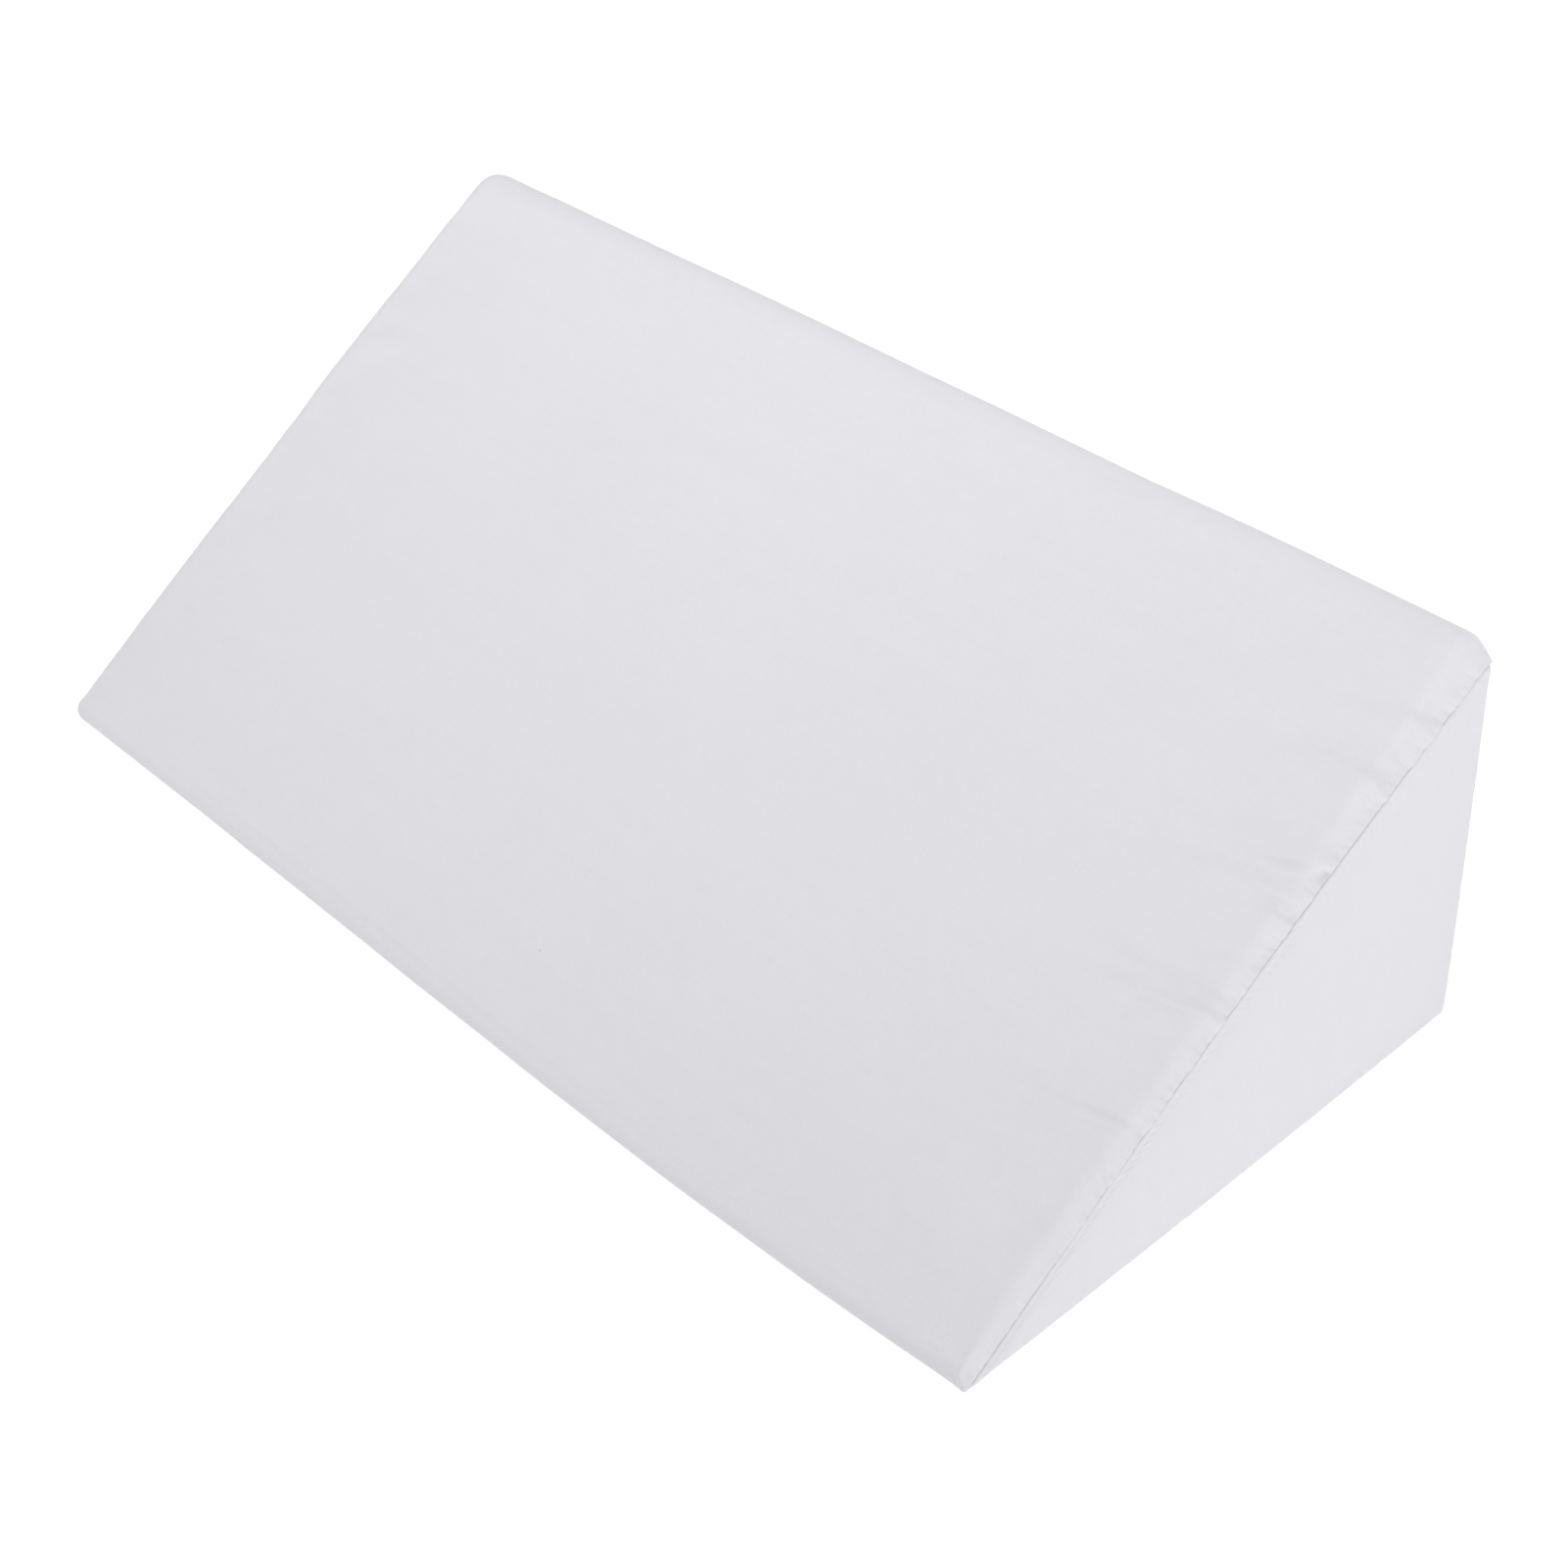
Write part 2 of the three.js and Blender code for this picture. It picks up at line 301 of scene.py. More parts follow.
SEAM_LINE = turned(SEAM, 0.0)


def roll_depths(outline, side):
    """How far from an end each point of an outline starts to roll, inside the seam."""
    corners = (((0.0, 0.0), TOE_ROLL[side]), ((DEPTH, HEIGHT), RIDGE_ROLL[side]))
    depths = np.full(len(outline), EDGE_ROLL[side])
    for point, depth in corners:
        reach = np.linalg.norm(outline - np.array(point), axis=1) / (2 * ROLL_BLEND)
        depths += (depth - EDGE_ROLL[side]) * (1 - smooth_step(0, 1, reach))
    return np.maximum(depths, LENGTH / 2 - SEAM_LINE[:, 0] + SEAM_LAP)


def place(points, side):
    """Points given by their distance from the cushion's middle, y and z, in the frame."""
    return points * (side, 1, 1) - (0, MIDDLE_Y, 0)


# Where each column of the outline lies, at the middle of the cushion
MIDDLE_OUTLINE = body_outline(0.0)
STEP_LENGTHS = np.linalg.norm(np.roll(MIDDLE_OUTLINE, -1, axis=0) - MIDDLE_OUTLINE, axis=1)
ARC_LENGTH = np.concatenate([[0.0], np.cumsum(STEP_LENGTHS)])
# The first columns turn round the toe and run under the cushion. They count as lying before
# the others, so that places join up at the toe and break in the middle of the base.
BEFORE_TOE = np.arange(COLUMNS) < ARC_STEPS + BASE_STEPS // 2
# Distance from the toe, measured up the slope; it goes on round the ridge and down the back
FROM_TOE = np.where(BEFORE_TOE, 0, ARC_LENGTH[-1]) - ARC_LENGTH[:-1]


# Relief: the puckers and folds that the seams pull into the cloth

# Soft folds on the slope beside the right end's seam. Each row: the distance from the toe up
# the slope where the fold meets the seam and where it dies out, how far it reaches from the
# seam, its half width and its height, which is negative for a trough.
RIGHT_FOLDS = (
    (251.0, 256.0, 26.0, 3.2, -0.45),
    (249.5, 243.0, 40.0, 3.4, -0.70),
    (242.0, 246.0, 30.0, 2.8, 0.50),
    (229.0, 236.0, 18.0, 3.2, -0.90),
    (226.0, 224.0, 50.0, 3.8, -0.95),
    (218.0, 222.0, 36.0, 3.0, 0.40),
    (199.0, 192.0, 54.0, 5.0, -0.60),
    (192.6, 186.0, 22.0, 2.2, 0.70),
    (186.5, 170.0, 68.0, 4.0, -1.20),
    (178.0, 168.0, 44.0, 3.0, 0.50),
    (170.6, 170.8, 32.0, 2.6, -0.75),
    (166.8, 169.0, 16.0, 2.0, 0.70),
    (154.5, 146.0, 52.0, 5.2, -0.60),
    (135.5, 131.0, 60.0, 4.4, -1.30),
    (132.0, 122.5, 48.0, 2.4, 0.70),
    (122.5, 119.0, 40.0, 4.4, -0.70),
    (107.0, 106.0, 34.0, 5.0, -0.40),
    (88.6, 80.6, 46.0, 2.6, -1.0),
    (66.0, 66.0, 40.0, 6.0, -0.45),
    (42.0, 45.0, 34.0, 6.0, -0.40),
)
# The same on the left end, which the photo shows less of
LEFT_FOLDS = (
    (256.0, 252.0, 40.0, 5.0, -0.40),
    (230.0, 227.0, 46.0, 5.0, -0.35),
    (196.0, 199.0, 64.0, 5.0, -0.55),
    (188.0, 190.0, 40.0, 4.0, 0.30),
    (150.0, 145.0, 44.0, 5.0, -0.35),
    (110.0, 113.0, 52.0, 6.0, -0.40),
    (89.0, 89.0, 60.0, 5.0, -0.35),
    (50.0, 46.0, 34.0, 5.0, -0.30),
)
# Single soft waves that run along the slope. Each row: their first and last place along the
# cushion, the distance from the toe at each, the half width and the height.
SLOPE_WAVES = (
    (-60.0, 60.0, 16.0, 27.0, 8.0, -0.50),
    (-5.0, 75.0, 27.0, 27.0, 4.0, 0.35),
    (40.0, 150.0, 19.0, 17.0, 7.0, -0.40),
    (60.0, 160.0, 53.0, 55.0, 5.0, 0.30),
    (-210.0, -60.0, 60.0, 66.0, 9.0, -0.35),
    (-120.0, 90.0, 128.0, 121.0, 11.0, -0.30),
    (-190.0, 20.0, 204.0, 210.0, 10.0, 0.25),
)
# The shares of a wave's length over which it rises and fades
SLOPE_WAVE_RISE = (-0.15, 0.3)
SLOPE_WAVE_FADE = (0.7, 1.15)
# Soft hollows at each end's corners. Each row: how far its middle is from the seam and from
# the toe, its reach and its depth.
HOLLOWS = {
    -1: ((10.0, 2.0, 12.0, 1.0),),
    1: ((13.0, 1.0, 12.0, 1.4), (11.0, 250.0, 10.0, 0.8)),
}
# How far the slope's cloth is drawn down towards each end's seam, and over what distance
SEAM_SAG = {-1: 0.15, 1: 0.9}
SAG_RISE = 8.0
SAG_REACH = 15.0
# Between these distances from the toe the sag fades out, below the ridge
SAG_TOP = (225.0, 255.0)
# Where the folds rise, by their distance from the seam
FOLD_RISE = {-1: (8.0, 26.0), 1: (0.0, 3.0)}
FOLD_STRENGTH = 1.35
# A fold fades out between these shares of its reach, and widens from start to end of it
FOLD_FADE = (0.4, 1.5)
FOLD_WIDTHS = (0.75, 1.25)
PUCKER_HEIGHT = 0.65
PUCKER_RISE = 3.0
PUCKER_REACH = 6.5
PUCKER_CELL = 1.9
GATHER_HEIGHT = 0.5
GATHER_RISE = 4.0
GATHER_REACH = 20.0
GATHER_CELL = 7.0
# Puckers and gathers change this many times more slowly away from the seam than they fade
RELIEF_STRETCH = 3
# How strong both are at each end, and on the panels
END_STRENGTH = {-1: 0.3, 1: 1.0}
PANEL_STRENGTH = 0.15
# The cloth's slight waves: broad ones all over, and long ones away from the ends
WAVE_HEIGHT = 0.5
BROAD_WAVE_CELLS = (85.0, 60.0)
LONG_WAVE_HEIGHT = 0.25
LONG_WAVE_CELLS = (34.0, 130.0)
LONG_WAVE_RISE = 30.0


def end_relief(along, distance, seed):
    """Puckers and gathers near a seam. along is the place along the seam, distance from it."""
    puckers = smooth_noise(along, distance, PUCKER_CELL, RELIEF_STRETCH * PUCKER_REACH, seed)
    fade = np.exp(-((distance / PUCKER_REACH) ** 2)) * smooth_step(0, PUCKER_RISE, distance)
    puckers = puckers * PUCKER_HEIGHT * fade
    gathers = smooth_noise(along, distance, GATHER_CELL, RELIEF_STRETCH * GATHER_REACH, seed + 1)
    fade = np.exp(-((distance / GATHER_REACH) ** 2)) * smooth_step(0, GATHER_RISE, distance)
    return puckers + gathers * GATHER_HEIGHT * fade


def fold_relief(folds, rise, from_toe, distance):
    """Folds that run from the seam over the slope."""
    height = np.zeros_like(distance)
    for at_seam, at_end, reach, half_width, size in folds:
        share = np.clip(distance / reach, 0, FOLD_FADE[1])
        centre = at_seam + (at_end - at_seam) * share
        width = half_width * (FOLD_WIDTHS[0] + (FOLD_WIDTHS[1] - FOLD_WIDTHS[0]) * share)
        profile = np.exp(-(((from_toe - centre) / width) ** 2))
        fade = smooth_step(*rise, distance) * (1 - smooth_step(*FOLD_FADE, share))
        height += FOLD_STRENGTH * size * profile * fade
    return height


def wave_relief(x, from_toe):
    """The single waves along the slope."""
    height = np.zeros_like(x)
    for first, last, at_first, at_last, half_width, size in SLOPE_WAVES:
        share = (x - first) / (last - first)
        centre = at_first + (at_last - at_first) * share
        profile = np.exp(-(((from_toe - centre) / half_width) ** 2))
        fade = smooth_step(*SLOPE_WAVE_RISE, share) * (1 - smooth_step(*SLOPE_WAVE_FADE, share))
        height += size * profile * fade
    return height


def corner_relief(side, from_end, from_toe):
    """The cloth drawn down towards an end's seam, with the soft hollows at its corners."""
    rise = smooth_step(0, SAG_RISE, from_end)
    height = -SEAM_SAG[side] * np.exp(-from_end / SAG_REACH) * rise
    height = height * (1 - smooth_step(*SAG_TOP, from_toe))
    for from_seam, up, reach, depth in HOLLOWS[side]:
        away = np.hypot(from_end - from_seam, from_toe - up)
        hollow = np.exp(-((away / reach) ** 2)) * smooth_step(0, from_seam, from_end)
        height = height - depth * hollow
    return height


def stitch_places():
    """Where the stitches meet along the seam, evenly spread, and the seam's whole length."""
    lengths = np.linalg.norm(np.roll(SEAM_LINE, -1, axis=0) - SEAM_LINE, axis=1)
    along = np.concatenate([[0.0], np.cumsum(lengths)])
    count = round(along[-1] / STITCH_PITCH)
    return along, np.arange(count) * along[-1] / count


SEAM_ALONG, STITCH_STARTS = stitch_places()
REAL_PITCH = SEAM_ALONG[-1] / len(STITCH_STARTS)
# Each column's place along the seam, counted on from the toe as FROM_TOE is
SEAM_PLACE = SEAM_ALONG[:-1] - np.where(BEFORE_TOE, 0, SEAM_ALONG[-1])


def dimple_relief(along, distance, reach):
    """The small puckers that start where the thread goes through, between two stitches."""
    offset = (along + REAL_PITCH / 2) % REAL_PITCH - REAL_PITCH / 2
    depth = np.exp(-((offset / DIMPLE_LENGTH) ** 2) - (distance / reach) ** 2)
    return -DIMPLE_DEPTH * depth * smooth_step(0, DIMPLE_RISE, distance)


# Cloth simulation. A coarse copy of the wrap, held at its seams and under the base, is puffed
# out by pressure. The folds that its ends pull into the slope are kept as relief.
PUFF_SPACING = 5.5
PUFF_STATIONS = 85
PUFF_STATION_POWER = 1.15
PUFF_ROLL_RINGS = (4, 8, 12)
# The solver is steadier on a copy that is this many times larger
PUFF_SCALE = 10.0
PUFF_FRAMES = 20
PUFF_PRESSURE = 0.4
PUFF_GROWTH = 0.015
PUFF_STIFFNESS = 40.0
PUFF_SHEAR = 5.0
PUFF_BENDING = 0.02
PUFF_AIR_DAMPING = 4.0
PUFF_POINT_MASS = 0.1
PUFF_QUALITY = 6
# The simulated form less its form over this many columns is kept, weakened and limited
PUFF_BROAD_COLUMNS = 7
PUFF_SHARE = 0.6
PUFF_LIMIT = 1.2
# Where it rises and fades: beside the seams, towards the middle, at the toe and at the ridge
PUFF_RISE = {-1: (10.0, 30.0), 1: (2.0, 14.0)}
PUFF_MIDDLE_FADE = (70.0, 130.0)
PUFF_TOE_RISE = (5.0, 40.0)
PUFF_RIDGE_FADE = (-45.0, -15.0)


def puff_columns():
    """Columns of the outline about one spacing apart."""
    picked = [0]
    for column in range(1, COLUMNS):
        if ARC_LENGTH[column] - ARC_LENGTH[picked[-1]] >= PUFF_SPACING:
            picked.append(column)
    return np.array(picked)


def run_puff(rings):
    """The rings after the cloth simulation. The mesh that it runs on is taken away again."""
    rows, columns = rings.shape[:2]
    index = np.arange(rows * columns).reshape(rows, columns)
    ahead = np.roll(index, -1, axis=1)
    quads = np.stack([index[:-1], ahead[:-1], ahead[1:], index[1:]], axis=-1).reshape(-1, 4)
    mesh = bpy.data.meshes.new("puff")
    mesh.from_pydata((rings.reshape(-1, 3) * MM * PUFF_SCALE).tolist(), [], quads.tolist())
    puff = bpy.data.objects.new("puff", mesh)
    bpy.context.scene.collection.objects.link(puff)
    held = rings[:, :, 2] < SEAM_GAP
    held[0] = held[-1] = True
    group = puff.vertex_groups.new(name="held")
    group.add(index[held].tolist(), 1.0, "REPLACE")
    cloth = puff.modifiers.new("cloth", "CLOTH")
    cloth.settings.vertex_group_mass = "held"
    cloth.settings.quality = PUFF_QUALITY
    cloth.settings.mass = PUFF_POINT_MASS
    cloth.settings.tension_stiffness = PUFF_STIFFNESS
    cloth.settings.compression_stiffness = PUFF_STIFFNESS
    cloth.settings.shear_stiffness = PUFF_SHEAR
    cloth.settings.bending_stiffness = PUFF_BENDING
    cloth.settings.air_damping = PUFF_AIR_DAMPING
    cloth.settings.use_pressure = True
    cloth.settings.uniform_pressure_force = PUFF_PRESSURE
    cloth.settings.shrink_min = -PUFF_GROWTH
    cloth.settings.effector_weights.gravity = 0.0
    cloth.collision_settings.use_collision = False
    for number in range(1, PUFF_FRAMES + 1):
        bpy.context.scene.frame_set(number)
    settled = puff.evaluated_get(bpy.context.evaluated_depsgraph_get()).data
    places = np.empty(rows * columns * 3, np.float32)
    settled.vertices.foreach_get("co", places)
    bpy.data.objects.remove(puff)
    bpy.data.meshes.remove(mesh)
    bpy.context.scene.frame_set(1)
    return places.reshape(rings.shape) / (MM * PUFF_SCALE)


def broad_shape(height):
    """A height smoothed along each row, over the width of a few columns."""
    kernel = np.ones(PUFF_BROAD_COLUMNS) / PUFF_BROAD_COLUMNS
    for repeat in range(2):
        padded = np.pad(height, ((0, 0), (PUFF_BROAD_COLUMNS // 2,) * 2), mode="edge")
        height = np.array([np.convolve(row, kernel, "valid") for row in padded])
    return height


def drawn_smoothly(values, at, wanted):
    """Values given along axis 0 at rising places, as a smooth spline at the places wanted."""
    share = np.interp(wanted, at, np.arange(len(at)))
    low = np.minimum(share.astype(int), len(at) - 2)
    t = (share - low)[:, None]
    weights = ((1 - t) ** 3, 3 * t**3 - 6 * t**2 + 4, 1 + 3 * t + 3 * t**2 - 3 * t**3, t**3)
    total = np.zeros((len(wanted), values.shape[1]))
    for offset, weight in zip((-1, 0, 1, 2), weights):
        total += values[np.clip(low + offset, 0, len(at) - 1)] * weight / 6
    return total


def puff_relief(row_stations):
    """The simulated folds, for rows at the stations given and for every column."""
    columns = puff_columns()
    share = np.linspace(-1, 1, PUFF_STATIONS)
    stations = np.sign(share) * (1 - (1 - np.abs(share)) ** PUFF_STATION_POWER)
    left = [wrap_end_rings(-1)[number] for number in PUFF_ROLL_RINGS[::-1]]
    right = [wrap_end_rings(1)[number] for number in PUFF_ROLL_RINGS]
    rings = np.array(left + wrap_middle_rings(stations) + right)[:, columns]
    moved = ((run_puff(rings) - rings) * surface_normals(rings)).sum(axis=2)
    moved = moved[len(left):-len(right)]
    on_slope = (FROM_TOE[columns] > 0) & (FROM_TOE[columns] < FROM_TOE[-SLOPE_STEPS])
    moved = moved[:, on_slope][:, ::-1]
    places = FROM_TOE[columns][on_slope][::-1]
    folds = PUFF_LIMIT * np.tanh(PUFF_SHARE * (moved - broad_shape(moved)) / PUFF_LIMIT)
    folds = drawn_smoothly(folds, stations, row_stations)
    folds = drawn_smoothly(folds.T, places, FROM_TOE).T
    at_ridge = smooth_step(*PUFF_RIDGE_FADE, FROM_TOE - places[-1])
    return folds * smooth_step(*PUFF_TOE_RISE, FROM_TOE) * (1 - at_ridge)


# Meshes


CLOTH_MAP = "cloth_place"


def surface_normals(points):
    """Normals of a closed loft of rings, from its rows and columns."""
    around = np.roll(points, -1, axis=1) - np.roll(points, 1, axis=1)
    along = np.gradient(points, axis=0)
    normals = np.cross(around, along)
    return normals / np.maximum(np.linalg.norm(normals, axis=2, keepdims=True), 1e-9)


def loft_object(name, rings, first_point, last_point, cloth_u, cloth_v, wrap_v):
    """A closed mesh through rings that run towards +X. cloth_u and cloth_v, in millimetres,
    say where each point lies on the cloth, for its weave. wrap_v is how far cloth_v moves on
    once round."""
    rows, columns = rings.shape[:2]
    points = np.concatenate([[first_point], rings.reshape(-1, 3), [last_point]]) * MM
    last = len(points) - 1
    index = 1 + np.arange(rows * columns).reshape(rows, columns)
    ahead = np.roll(index, -1, axis=1)
    quads = np.stack([index[:-1], ahead[:-1], ahead[1:], index[1:]], axis=-1).reshape(-1, 4)
    starts = np.stack([np.full(columns, 0), ahead[0], index[0]], axis=-1)
    ends = np.stack([np.full(columns, last), index[-1], ahead[-1]], axis=-1)
    mesh = bpy.data.meshes.new(name)
    mesh.from_pydata(points.tolist(), [], quads.tolist() + starts.tolist() + ends.tolist())
    v_ahead = np.concatenate([cloth_v[:, 1:], cloth_v[:, :1] + wrap_v], axis=1)
    u_ahead = np.roll(cloth_u, -1, axis=1)
    corners_u = np.stack([cloth_u[:-1], u_ahead[:-1], u_ahead[1:], cloth_u[1:]], axis=-1)
    corners_v = np.stack([cloth_v[:-1], v_ahead[:-1], v_ahead[1:], cloth_v[1:]], axis=-1)
    body = np.stack([corners_u, corners_v], axis=-1).reshape(-1, 2)
    first_u = np.stack([np.full(columns, cloth_u[0].mean()), u_ahead[0], cloth_u[0]], axis=-1)
    first_v = np.stack([np.full(columns, cloth_v[0].mean()), v_ahead[0], cloth_v[0]], axis=-1)
    last_u = np.stack([np.full(columns, cloth_u[-1].mean()), cloth_u[-1], u_ahead[-1]], axis=-1)
    last_v = np.stack([np.full(columns, cloth_v[-1].mean()), cloth_v[-1], v_ahead[-1]], axis=-1)
    first = np.stack([first_u, first_v], axis=-1).reshape(-1, 2)
    final = np.stack([last_u, last_v], axis=-1).reshape(-1, 2)
    places = np.concatenate([body, first, final]) * MM
    layer = mesh.uv_layers.new(name=CLOTH_MAP)
    layer.data.foreach_set("uv", places.astype(np.float32).ravel())
    mesh.shade_smooth()
    mesh.update()
    piece = bpy.data.objects.new(name, mesh)
    bpy.context.scene.collection.objects.link(piece)
    return piece


def row_distances():
    """Distances of the rows from the end of the flat stretch: fine there, coarse further in."""
    places = [0.0]
    while places[-1] < LENGTH / 2:
        beyond = max(places[-1] - FINE_ROWS_REACH, 0)
        places.append(places[-1] + min(FINE_ROW + ROW_GROWTH * beyond, COARSE_ROW))
    places = np.array(places)
    return places * (LENGTH / 2) / places[-1]


# The panel's seat in the wrap: its depth, and its rings' distances from the seam
SEAT_DEPTH = 2.9
SEAT_RINGS = (0.0, SEAM_LAP, SEAM_LAP + TURN_LENGTH / 2, SEAM_LAP + TURN_LENGTH, 40.0)


# Where the cloth faces down by this much, it starts to lie flat and then does
RESTING = (0.2, 0.75)


def lip_steps():
    """Steps over a rounded lip: how much of its width is left, and the share of its depth."""
    for angle in np.linspace(0, math.pi / 2, LIP_STEPS + 1)[1:]:
        yield 1 - math.sin(angle), 1 - math.cos(angle)


def wrap_end_rings(side):
    """Rings over one end, outwards: the roll, the lip, then the seat under the panel."""
    section = body_outline(side)
    width, drop = WRAP_LIP
    start = np.column_stack([LENGTH / 2 - roll_depths(section, side), section])
    end = turned(beside_seam(width), 0.0)
    rings = []
    for angle in np.linspace(0, math.pi / 2, ROLL_STEPS + 1)[1:]:
        points = start + (end - start) * (1 - math.cos(angle)) ** ROLL_POWER[side]
        points[:, 0] = start[:, 0] + (end[:, 0] - start[:, 0]) * math.sin(angle)
        rings.append(place(points, side))
    for left, share in lip_steps():
        rings.append(place(turned(beside_seam(width * left), drop * share), side))
    for distance in SEAT_RINGS:
        rings.append(place(turned(inset_ring(SEAM, distance), SEAT_DEPTH), side))
    return rings


def wrap_middle_rings(stations):
    """Rings between the rolls of both ends, at the stations given."""
    depths = {side: roll_depths(body_outline(side), side) for side in (-1, 1)}
    rings = []
    for station in stations:
        reach = LENGTH / 2 - depths[-1 if station < 0 else 1]
        rings.append(place(np.column_stack([station * reach, body_outline(station)]), 1))
    return rings


def make_wrap():
    """The filled cushion in its wrap of cloth."""
    distances = row_distances()
    stations = np.concatenate([distances / (LENGTH / 2) - 1, 1 - distances[-2::-1] / (LENGTH / 2)])
    left_rings = wrap_end_rings(-1)
    rings = np.array(left_rings[::-1] + wrap_middle_rings(stations) + wrap_end_rings(1))
    first_lip = len(SEAT_RINGS)
    last_lip = len(rings) - 1 - first_lip
    steps = np.linalg.norm(np.diff(rings, axis=0), axis=2)
    travel = np.concatenate([np.zeros((1, COLUMNS)), np.cumsum(steps, axis=0)])
    from_left = np.maximum(travel - travel[first_lip], 0)
    from_right = np.maximum(travel[last_lip] - travel, 0)
    from_toe = np.broadcast_to(FROM_TOE, from_left.shape)
    seam_along = np.broadcast_to(SEAM_PLACE, from_left.shape)

    nearest = np.minimum(from_left, from_right)
    relief = wave_relief(rings[:, :, 0], from_toe)
    for side, from_end, folds in ((1, from_right, RIGHT_FOLDS), (-1, from_left, LEFT_FOLDS)):
        relief += END_STRENGTH[side] * end_relief(seam_along, from_end, END_SEEDS[side])
        relief += fold_relief(folds, FOLD_RISE[side], from_toe, from_end)
        relief += dimple_relief(seam_along, from_end, DIMPLE_REACH)
        relief += corner_relief(side, from_end, from_toe)
    relief += WAVE_HEIGHT * smooth_noise(travel, from_toe, *BROAD_WAVE_CELLS, BROAD_WAVE_SEED)
    long_waves = smooth_noise(travel, from_toe, *LONG_WAVE_CELLS, LONG_WAVE_SEED)
    relief += LONG_WAVE_HEIGHT * smooth_step(0, LONG_WAVE_RISE, nearest) * long_waves
    end_rows = np.ones(len(left_rings))
    puff = puff_relief(np.concatenate([-end_rows, stations, end_rows]))
    puff *= smooth_step(*PUFF_RISE[1], from_right) * smooth_step(*PUFF_RISE[-1], from_left)
    relief += puff * (1 - smooth_step(*PUFF_MIDDLE_FADE, nearest))

    normals = surface_normals(rings)
    rests = smooth_step(*RESTING, -normals[:, :, 2])
    relief = relief * (1 - rests)
    relief[: first_lip + 1] = 0
    relief[last_lip:] = 0
    rings = rings + normals * relief[:, :, None]
    rings[:, :, 2] = np.maximum(rings[:, :, 2], 0)

    middle_row = len(left_rings) + len(distances) - 1
    cloth_u = travel - travel[middle_row]
    cloth_v = np.broadcast_to(ARC_LENGTH[:-1], cloth_u.shape)
    ends = [panel_centre(side, SEAT_DEPTH) for side in (-1, 1)]
    return loft_object("wrap_cover", rings, *ends, cloth_u, cloth_v, ARC_LENGTH[-1])


def panel_centre(side, depth):
    """The middle of a panel, at a depth below its face."""
    return place(turned(PANEL_MIDDLE[None], depth), side)[0]


# Distances of an end panel's rings from its lip, fine near the seam and round the turn
PANEL_ROWS = (0.0, 0.4, 0.8, 1.2, 1.7, 2.3, 3.0, 3.8, 4.7, 5.6, 6.6, 8.0, 10.0, 12.5, 15.5, 19.0,
              23.0, 27.5, 32.0, 37.0, 42.0, 46.0, 49.0)
PANEL_WAVE_HEIGHT = 0.3
PANEL_WAVE_CELL = 48.0
PANEL_WAVE_RISE = 20.0


def make_panel(name, side, seed):
    """A triangular end panel: a domed sheet of cloth whose edge turns into the seam."""
    width, drop = PANEL_LIP
    outer = []
    for distance in PANEL_ROWS:
        flat = inset_ring(beside_seam(-SEAM_GAP - width), distance)
        swell = LIP_SWELL * math.exp(-(((distance - LIP_SWELL_TOP) / LIP_SWELL_WIDTH) ** 2))
        swell = swell * smooth_step(*LIP_SWELL_RISE, distance)
        relief = PANEL_STRENGTH * end_relief(SEAM_PLACE, np.full(COLUMNS, distance), seed)
        relief += dimple_relief(SEAM_PLACE, distance, PANEL_DIMPLE_REACH)
        wave = smooth_noise(flat[:, 0], flat[:, 1], PANEL_WAVE_CELL, PANEL_WAVE_CELL, seed + 3)
        wave = PANEL_WAVE_HEIGHT * wave * smooth_step(0, PANEL_WAVE_RISE, distance)
        rests = smooth_step(EDGE_RADIUS, -OVERHANG, flat[:, 1])
        outer.append((flat, -(swell + relief + wave) * (1 - rests)))
    edge = [(beside_seam(-SEAM_GAP - width * left), drop * share) for left, share in lip_steps()]
    start = beside_seam(-SEAM_GAP)
    inner = [(inset_ring(start, distance), PANEL_THICKNESS) for distance in SEAT_RINGS]
    sheet = outer[::-1] + edge + inner
    flats = np.array([flat for flat, depth in sheet])
    rings = np.array([place(turned(flat, depth), side) for flat, depth in sheet])
    rings[:, :, 2] = np.maximum(rings[:, :, 2], 0)
    ends = [rings[0].mean(axis=0), panel_centre(side, PANEL_THICKNESS)]
    if side > 0:
        rings, flats, ends = rings[::-1], flats[::-1], ends[::-1]
    return loft_object(name, rings, *ends, flats[:, :, 1], flats[:, :, 0], 0.0)


